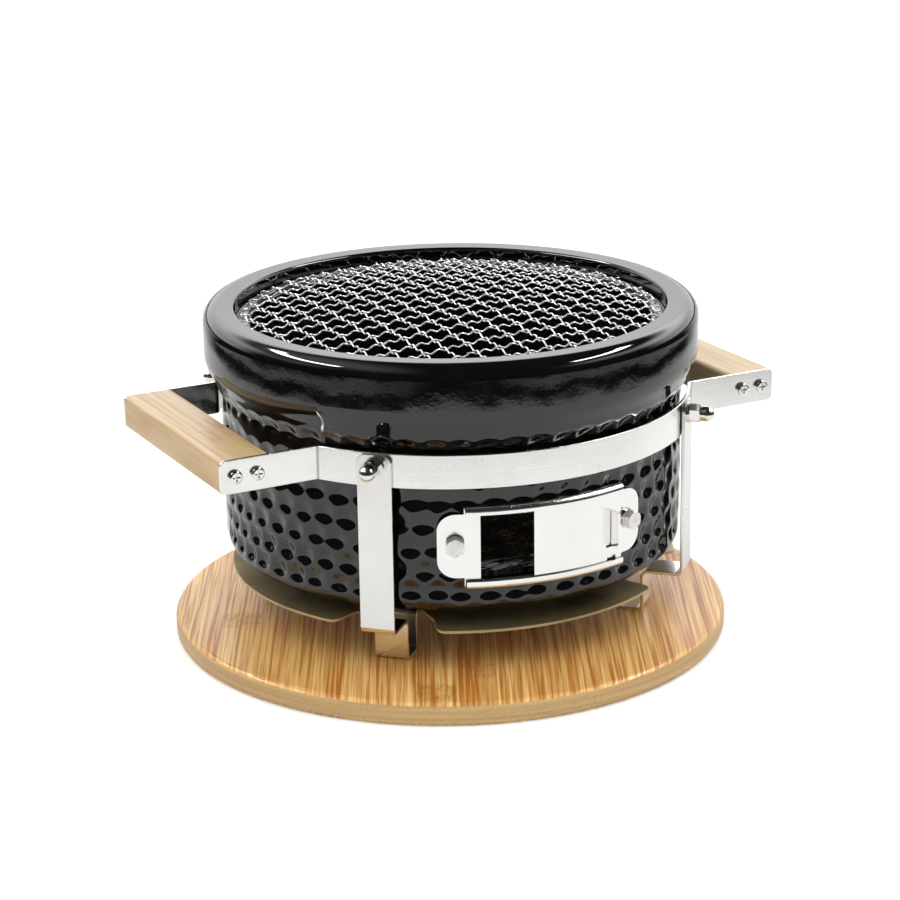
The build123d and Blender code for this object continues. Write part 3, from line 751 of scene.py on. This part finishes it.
# ---- the cooking grid ----
@dataclass
class WovenGrid:
    """Crimped wires woven over and under each other, pressed into a shallow dome."""

    wire_material: Material
    ring_material: Material
    radius: float = 127.0
    wire: float = 0.52
    crimp: float = 0.82
    edge_height: float = 193.75
    rise: float = 8.75
    origin: Point = (-5.05, 1.6)
    turn_x: float = 4.4
    turn_y: float = -1.4
    pitch_x: float = 14.04
    pitch_y: float = 14.3
    step: float = 1.2
    sides: int = 6

    def wire_points(self, start: Array, along: Array, pitch: float,
                    sign: float) -> Tuple[Array, Array]:
        """Tube round one wire.

        Its line runs straight in plan. Its height is the dome, a parabola of the distance
        from the middle, plus a crimp: a cosine with three half waves between crossings,
        whose sign swaps from wire to wire.

        Args:
            start: the crossing that it is measured from.
            along: its direction in plan.
            pitch: distance between crossings.
            sign: +1 or -1, over or under at the first crossing.
        Returns:
            Points and faces.
        """
        half = -float(start @ along)
        miss = start + along * half
        reach = math.sqrt(max(self.radius**2 - float(miss @ miss), 1.0)) - 0.3
        count = int(2 * reach / self.step)
        s = np.linspace(half - reach, half + reach, count)
        plan = start + s[:, None] * along
        far = (plan**2).sum(1) / self.radius**2
        height = self.edge_height + self.rise * (1 - far)
        height = height + sign * self.crimp * np.cos(3 * math.pi * s / pitch)
        line = np.column_stack([plan, height])
        run = np.gradient(line, axis=0)
        run /= np.linalg.norm(run, axis=1, keepdims=True)
        side = np.array([-along[1], along[0], 0.0])
        up = np.cross(run, side)
        turn = np.linspace(0, 2 * math.pi, self.sides, endpoint=False)
        ring = (np.cos(turn)[None, :, None] * side + np.sin(turn)[None, :, None] * up[:, None])
        points = line[:, None] + self.wire * ring
        return points.reshape(-1, 3), grid_quads(count, self.sides, True)

    def build(self) -> bpy.types.Object:
        """Lays both sets of wires."""
        ax = np.array([math.cos(math.radians(self.turn_x)), math.sin(math.radians(self.turn_x))])
        ay = np.array([-math.sin(math.radians(self.turn_y)), math.cos(math.radians(self.turn_y))])
        zero = np.array(self.origin)
        points: List[Array] = []
        faces: List[List[int]] = []
        used = 0
        for family, (along, across, own, other) in enumerate(
                ((ax, ay, self.pitch_x, self.pitch_y), (ay, ax, self.pitch_y, self.pitch_x))):
            for number in range(-9, 10):
                start = zero + across * other * number
                miss = start - along * float(start @ along)
                if float(miss @ miss) > (self.radius - 4) ** 2:
                    continue
                sign = (-1.0) ** (number + family)
                p, q = self.wire_points(start, along, own, sign)
                faces += (q + used).tolist()
                faces.append((np.arange(self.sides)[::-1] + used).tolist())
                faces.append((np.arange(self.sides) + used + len(p) - self.sides).tolist())
                points.append(p)
                used += len(p)
        return new_piece("woven_grid", np.concatenate(points), faces, "grid",
                         self.wire_material, ["cooking_grid_mesh"], 80.0)

    def build_ring(self) -> bpy.types.Object:
        """The flat ring under the wires, a rounded rectangle carried round the axis."""
        corners = [(125, 190.42), (128.3, 190.42), (128.3, 192.9), (122.7, 192.9),
                   (122.7, 190.42), (125, 190.42)]
        section = rounded_path(corners, 0.8, 4, 0.1)[:-1]
        points, faces = revolve(section, 256)
        return new_piece("grid_ring", points, faces, "grid", self.ring_material,
                         ["cooking_grid_rim"], 60.0)


# ---- bent sheet: bands and legs ----
@dataclass
class Strip:
    """A strip of sheet carried along a path, with rounded edges and rounded end corners."""

    sheet: float = 2.0
    width: float = 20.0
    edge: float = 0.35
    corner_start: float = 3.0
    corner_end: float = 3.0

    def outline(self) -> Array:
        """Section of the strip: (across the sheet, along its width), a rounded rectangle."""
        t, w = self.sheet / 2, self.width / 2
        path = [(0, -w), (t, -w), (t, w), (-t, w), (-t, -w), (0, -w)]
        return rounded_path(path, self.edge, 3, 0.12)[:-1]

    def stations(self, path: Array) -> Array:
        """The path with extra points close to both ends, where the corners turn."""
        gaps = np.linalg.norm(np.diff(path, axis=0), axis=1)
        length = np.concatenate([[0], np.cumsum(gaps)])
        total = length[-1]
        fan = 1 - np.cos(np.linspace(0, math.pi / 2, 9))
        extra = [fan * self.corner_start + 0.001, total - 0.001 - fan * self.corner_end]
        at = np.unique(np.round(np.concatenate([length, *extra]), 5))
        return np.stack([np.interp(at, length, path[:, k]) for k in range(2)], -1)

    def carry(self, path: Array, place: Callable[[Array, Array], Array]
              ) -> Tuple[Array, List[List[int]]]:
        """Carries the section along a flat path.

        A point is the path's point, plus its offset along the path's normal, plus its place
        along the width. Near an end the half width shrinks as a quarter circle.

        Args:
            path: (n, 2) centre line.
            place: turns (plane points, width positions) into 3-D points.
        Returns:
            Points and faces, ends closed.
        """
        line = self.stations(path)
        gaps = np.linalg.norm(np.diff(line, axis=0), axis=1)
        length = np.concatenate([[0], np.cumsum(gaps)])
        run = np.gradient(line, length, axis=0)
        run /= np.linalg.norm(run, axis=1, keepdims=True)
        normal = np.stack([-run[:, 1], run[:, 0]], -1)
        half = self.width / 2
        loss = np.zeros(len(line))
        for corner, away in ((self.corner_start, length), (self.corner_end, length[-1] - length)):
            if corner > 0:
                d = np.clip(corner - away, 0, corner)
                loss = np.maximum(loss, corner - np.sqrt(corner**2 - d**2))
        section = self.outline()
        across = section[:, 0][None] + 0 * loss[:, None]
        wide = section[:, 1][None] * ((half - loss) / half)[:, None]
        plane = line[:, None] + normal[:, None] * across[..., None]
        points = place(plane.reshape(-1, 2), wide.reshape(-1))
        n, m = wide.shape
        faces = grid_quads(n, m, True).tolist()
        faces.append(list(range(m))[::-1])
        faces.append([(n - 1) * m + k for k in range(m)])
        return points, faces


@dataclass
class Band:
    """One half of the band: an arc round the body whose ends turn out into handle tabs."""

    material: Material
    name: str
    node: str
    turn: float
    radius: float = 144.7
    tab_y: float = 73.5
    tab_end: float = 185.0
    middle: float = 138.0
    bend: float = 1.6

    def path(self) -> Array:
        """Plan of the band: tab, bend, arc, bend, tab. A bend is a parabola tangent to the
        tab and to the arc, the squared mix of its end points and the corner."""
        edge = math.atan2(math.sqrt(self.radius**2 - self.tab_y**2), self.tab_y)
        reach = self.bend / self.radius
        arc = np.linspace(-edge + reach, edge - reach, 120)
        hoop = np.stack([self.radius * np.sin(arc), -self.radius * np.cos(arc)], -1)
        corner = np.array([self.radius * math.sin(edge), -self.radius * math.cos(edge)])
        t = np.linspace(0, 1, 9)[:, None]
        tab_side = corner + (self.bend, 0)
        right = (1 - t) ** 2 * hoop[-1] + 2 * t * (1 - t) * corner + t**2 * tab_side
        tab = np.linspace(tab_side, (self.tab_end, -self.tab_y), 6)[1:]
        half = np.concatenate([hoop, right[1:], tab])
        mirror = np.concatenate([right[1:], tab])[::-1] * (-1, 1)
        return np.concatenate([mirror, half])

    def build(self) -> bpy.types.Object:
        """Carries the strip round the body."""
        turn = math.radians(self.turn)
        spin = np.array([[math.cos(turn), -math.sin(turn)], [math.sin(turn), math.cos(turn)]])

        def place(plane: Array, wide: Array) -> Array:
            """Plan point turned about the axis, width along Z."""
            return np.column_stack([plane @ spin.T, self.middle + wide])

        points, faces = Strip().carry(self.path(), place)
        return new_piece(self.name, points, faces, "grill", self.material,
                         [self.node])


@dataclass
class Leg:
    """Strap leg: down the side, a step in, a U foot, and a shelf under the body."""

    material: Material
    name: str
    node: str
    turn: float
    corners: Tuple[Point, ...] = ((147.0, 147.2), (147.0, 40.0), (122.6, 40.0), (122.6, 15.0),
                                  (106.4, 15.0), (106.4, 40.0), (58.0, 40.0))
    bend: float = 3.4
    width: float = 20.5
    top_corner: float = 4.5

    def build(self) -> bpy.types.Object:
        """Carries the strip down the leg's path, in the plane through the body axis."""
        turn = math.radians(self.turn)
        out = np.array([math.sin(turn), -math.cos(turn)])
        side = np.array([math.cos(turn), math.sin(turn)])

        def place(plane: Array, wide: Array) -> Array:
            """Distance from the axis and height, width across the leg."""
            flat = plane[:, :1] * out + wide[:, None] * side
            return np.column_stack([flat, plane[:, 1]])

        strip = Strip(width=self.width, corner_start=self.top_corner, corner_end=1.0)
        points, faces = strip.carry(rounded_path(self.corners, self.bend, 8, 0.4), place)
        return new_piece(self.name, points, faces, "grill", self.material,
                         [self.node])


# ---- studio ----
@dataclass
class Studio:
    """Pale floor, soft surrounding light and the camera."""

    eye: Tuple[float, float, float] = (-0.712017, -1.364651, 0.602558)
    right: Tuple[float, float, float] = (0.884854, -0.465662, -0.013874)
    up: Tuple[float, float, float] = (0.155151, 0.266478, 0.951272)
    lens: float = 104.954
    backdrop: Tuple[float, float] = (0.4626, 0.8866)
    backdrop_power: float = 1.55
    backdrop_tint: Colour = (1.0, 0.972, 0.99)
    floor_size: float = 30.0
    floor_colour: Colour = (0.79, 0.79, 0.785)
    bright_floor: float = 0.735
    floor_glow: float = 0.35
    fill: Tuple[float, float] = (0.18, 1.85)
    softboxes: Tuple[Tuple[float, float, float, float, float], ...] = (
        (-128.0, 46.0, 36.0, 2.3, 34.0), (72.0, 46.0, 28.0, 2.3, 34.0))

    def bearings(self, p: Nodes, x: Value, y: Value) -> Tuple[Socket, Socket]:
        """How far a point lies toward the backdrop, and to the right of it."""
        east, north = self.backdrop
        return (p.plus(p.times(x, east), p.times(y, north)),
                p.minus(p.times(x, north), p.times(y, east)))

    def camera(self) -> None:
        """Places the camera by its own right, up and backward directions."""
        data = bpy.data.cameras.new("camera")
        data.lens = self.lens
        data.sensor_width = 36.0
        data.clip_end = 100.0
        eye = bpy.data.objects.new("camera", data)
        right, up = np.array(self.right), np.array(self.up)
        turn = np.column_stack([right, up, np.cross(right, up)])
        eye.matrix_world = Matrix.Translation(self.eye) @ Matrix(turn.tolist()).to_4x4()
        bpy.context.scene.collection.objects.link(eye)
        bpy.context.scene.camera = eye

    def floor(self) -> None:
        """A plain pale floor; past a radius, reflections see it dark but for a faint ring."""
        p = Painter("studio_floor")
        x, y, _ = p.split(p.point())
        far = p.length(x, y)
        toward, right = self.bearings(p, x, y)
        across, behind = p.over(right, far), p.over(toward, far)
        away = p.plus(far, p.remap(p.size(across), 0.3, 0.95, 0.0, 0.03, soft=True))
        beyond = p.remap(away, self.bright_floor - 0.015, self.bright_floor + 0.015, soft=True)
        ring = p.times(p.remap(away, 0.775, 0.785, soft=True),
                       p.remap(away, 0.805, 0.825, 1.0, 0.0, soft=True))
        ring = p.times(ring, p.remap(p.size(across), 0.10, 0.60, 0.0, 0.55))
        beyond = p.times(beyond, p.minus(1.0, ring))
        beyond = p.times(beyond, p.remap(behind, 0.55, 0.9, 1.0, 0.0, soft=True))
        glossy = p.node("LightPath").outputs["Is Glossy Ray"]
        black = p.node("Emission")
        black.inputs["Color"].default_value = (0.02, 0.02, 0.02, 1)
        join = p.node("MixShader")
        p.link(p.times(beyond, glossy), join.inputs[0])
        matt = p.node("BsdfDiffuse")
        matt.inputs["Color"].default_value = (*self.floor_colour, 1)
        p.link(matt.outputs[0], join.inputs[1])
        p.link(black.outputs[0], join.inputs[2])
        glow = p.node("Emission")
        seen = p.node("LightPath").outputs["Is Camera Ray"]
        p.link(p.times(seen, self.floor_glow), glow.inputs["Strength"])
        both = p.node("AddShader")
        p.link(join.outputs[0], both.inputs[0])
        p.link(glow.outputs[0], both.inputs[1])
        p.link(both.outputs[0], p.tree.nodes["Material Output"].inputs["Surface"])
        size = self.floor_size
        mesh = bpy.data.meshes.new("studio_floor")
        mesh.from_pydata([(-size, -size, 0), (size, -size, 0), (size, size, 0), (-size, size, 0)],
                         [], [(0, 1, 2, 3)])
        mesh.materials.append(p.material)
        floor = bpy.data.objects.new("studio_floor", mesh)
        bpy.context.scene.collection.objects.link(floor)

    def surround(self) -> None:
        """Soft light from all round, with a bright backdrop and two round softboxes that
        show only in reflections."""
        world = bpy.data.worlds.new("studio")
        bpy.context.scene.world = world
        world.use_nodes = True
        world.cycles.sampling_method = "NONE"
        p = Nodes(world.node_tree)
        x, y, z = p.split(p.node("TexCoord").outputs["Generated"])
        flat = p.math("SQRT", p.math("MAXIMUM", p.minus(1.0, p.times(z, z)), 1e-4))
        toward, right = self.bearings(p, x, y)
        toward = p.over(toward, flat)
        low = p.remap(z, 0.46, 0.62, 1.0, 0.0, soft=True)
        wall = p.times(p.remap(toward, 0.10, 0.50, soft=True), low)
        wall = p.times(wall, p.remap(z, 0.02, 0.10, soft=True))
        beside = p.times(p.remap(toward, -0.70, -0.15, soft=True), low)
        beside = p.times(beside, p.remap(z, 0.25, 0.45, soft=True))
        beside = p.times(beside, p.remap(right, -0.4, 0.5, 0.55, 1.5, soft=True))
        shine = p.math("MULTIPLY_ADD", wall, self.backdrop_power, 0.03)
        shine = p.plus(shine, beside)
        glow = p.times(p.remap(z, 0.45, 0.95, 0.0, 0.8, soft=True),
                       p.remap(right, -0.55, -0.10, 1.0, 0.0, soft=True))
        shine = p.plus(shine, glow)
        for turn, lift, wide, tall, power in self.softboxes:
            a = math.radians(turn)
            facing = p.over(p.minus(p.times(x, math.sin(a)), p.times(y, math.cos(a))), flat)
            edge = math.cos(math.radians(wide))
            lamp = p.remap(facing, edge - 0.02, edge + 0.02, 0.0, power, soft=True)
            low_z, high_z = (math.sin(math.radians(lift + side * tall)) for side in (-1, 1))
            lamp = p.times(lamp, p.remap(z, low_z - 0.01, low_z + 0.01, soft=True))
            lamp = p.times(lamp, p.remap(z, high_z - 0.01, high_z + 0.01, 1.0, 0.0, soft=True))
            shine = p.plus(shine, lamp)
        rays = p.node("LightPath").outputs
        soft = p.remap(z, 0.0, 1.0, *self.fill)
        level = p.plus(p.times(rays["Is Glossy Ray"], shine),
                       p.times(rays["Is Diffuse Ray"], soft))
        level = p.plus(level, rays["Is Camera Ray"])
        back = p.tree.nodes["Background"]
        tint = p.mix(p.times(wall, rays["Is Glossy Ray"]), (1.0, 1.0, 1.0), self.backdrop_tint)
        p.link(tint, back.inputs["Color"])
        p.link(level, back.inputs["Strength"])
        bpy.context.scene.view_settings.view_transform = "Standard"

    def build(self) -> None:
        """Sets up the camera, the floor and the light."""
        self.camera()
        self.floor()
        self.surround()


# ---- the grill ----
@dataclass
class Grill:
    """All pieces of the grill and the finishes of the CAD pieces that stay."""

    def dress(self, material: Material, *nodes: str) -> None:
        """Gives CAD nodes a finish."""
        for node in nodes:
            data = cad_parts[node].data
            for k in range(max(len(data.materials), 1)):
                if k < len(data.materials):
                    data.materials[k] = material
                else:
                    data.materials.append(material)
            log.info("%s: finish %s", node, material.name)

    def build(self) -> None:
        """Makes every finish and piece."""
        glaze = Glaze("black_glaze", (0.0022, 0.0022, 0.0024), 0.03).make()
        # the clay's pale colour and its ring are painted light at the foot of the chamber wall
        clay = ScorchedClay("scorched_clay", (0.004, 0.0035, 0.003), (0.26, 0.16, 0.07),
                            (0.62, 0.60, 0.60), (0.092, 0.104)).make()
        wire = Plating("grid_wire_finish", (0.92, 0.91, 0.89), 0.22,
                       (0.62, 0.60, 0.56), 0.72).make()
        ring = Plating("grid_ring_finish", (0.30, 0.29, 0.28), 0.26, (0.16, 0.14, 0.12)).make()
        chrome = Plating("fastener_finish", (0.86, 0.85, 0.81), 0.10).make()
        satin = Plating("bolt_finish", (0.84, 0.83, 0.79), 0.26, (0.55, 0.51, 0.44), 0.72).make()
        # the band gets a line of painted shade along each fold between the arc and a tab
        band = SheetSteel("band_finish", (0.96, 0.955, 0.925), 0.20, 0.10, (8, 8, 1600),
                          fold=(0.12464, 0.0735)).make()
        strap = SheetSteel("leg_finish", (0.84, 0.83, 0.80), 0.17, 0.08, (1400, 1400, 10)).make()
        vent = SheetSteel("vent_finish", (0.96, 0.95, 0.93), 0.16, 0.08, (10, 10, 1500)).make()
        shield = SheetSteel("shield_finish", (0.52, 0.42, 0.22), 0.34, 0.16, (420, 420, 420),
                            (0.26, 0.19, 0.08), 0.8, 0.00003, 0.72).make()
        grate = SheetSteel("grate_finish", (0.030, 0.028, 0.026), 0.50, 0.15, (600, 20, 20),
                           (0.030, 0.018, 0.012), 0.6).make()
        board = Bamboo("board_bamboo", (0.99, 0.66, 0.23), (0.50, 0.17, 0.018),
                       (0.36, 0.115, 0.012), 27.0, 0.0235, Grain.BOARD).make()
        grip = Bamboo("handle_bamboo", (0.69, 0.53, 0.30), (0.50, 0.27, 0.085),
                      (0.40, 0.19, 0.05), 0.0, 0.0052, Grain.HANDLE, streak=0.6).make()
        CeramicBody(glaze, clay).build()
        grid = WovenGrid(wire, ring)
        grid.build()
        grid.build_ring()
        Band(band, "band_front_strip", "band_front", 0.0).build()
        Band(band, "band_rear_strip", "band_rear", 180.0).build()
        for name, turn in (("front_left", -45.0), ("front_right", 45.0), ("rear_right", 135.0),
                           ("rear_left", -135.0)):
            Leg(strap, f"strap_{name}", f"leg_{name}", turn).build()
        self.dress(board, "base_board")
        self.dress(grip, "handle_left", "handle_right")
        self.dress(grate, "charcoal_grate")
        self.dress(vent, "vent_frame", "vent_slider")
        self.dress(shield, "heat_shield")
        self.dress(chrome, "handle_screws_left", "handle_screws_right", "leg_bolts",
                   "leg_washers", "leg_cap_nuts", "vent_washers", "vent_nuts", "shield_bolts",
                   "shield_nuts")
        self.dress(satin, "vent_bolts")


def main() -> None:
    """Builds the studio and the grill."""
    logging.basicConfig(level=logging.INFO, format="%(name)s: %(message)s")
    Studio().build()
    Grill().build()


if __name__ == "__main__":
    main()
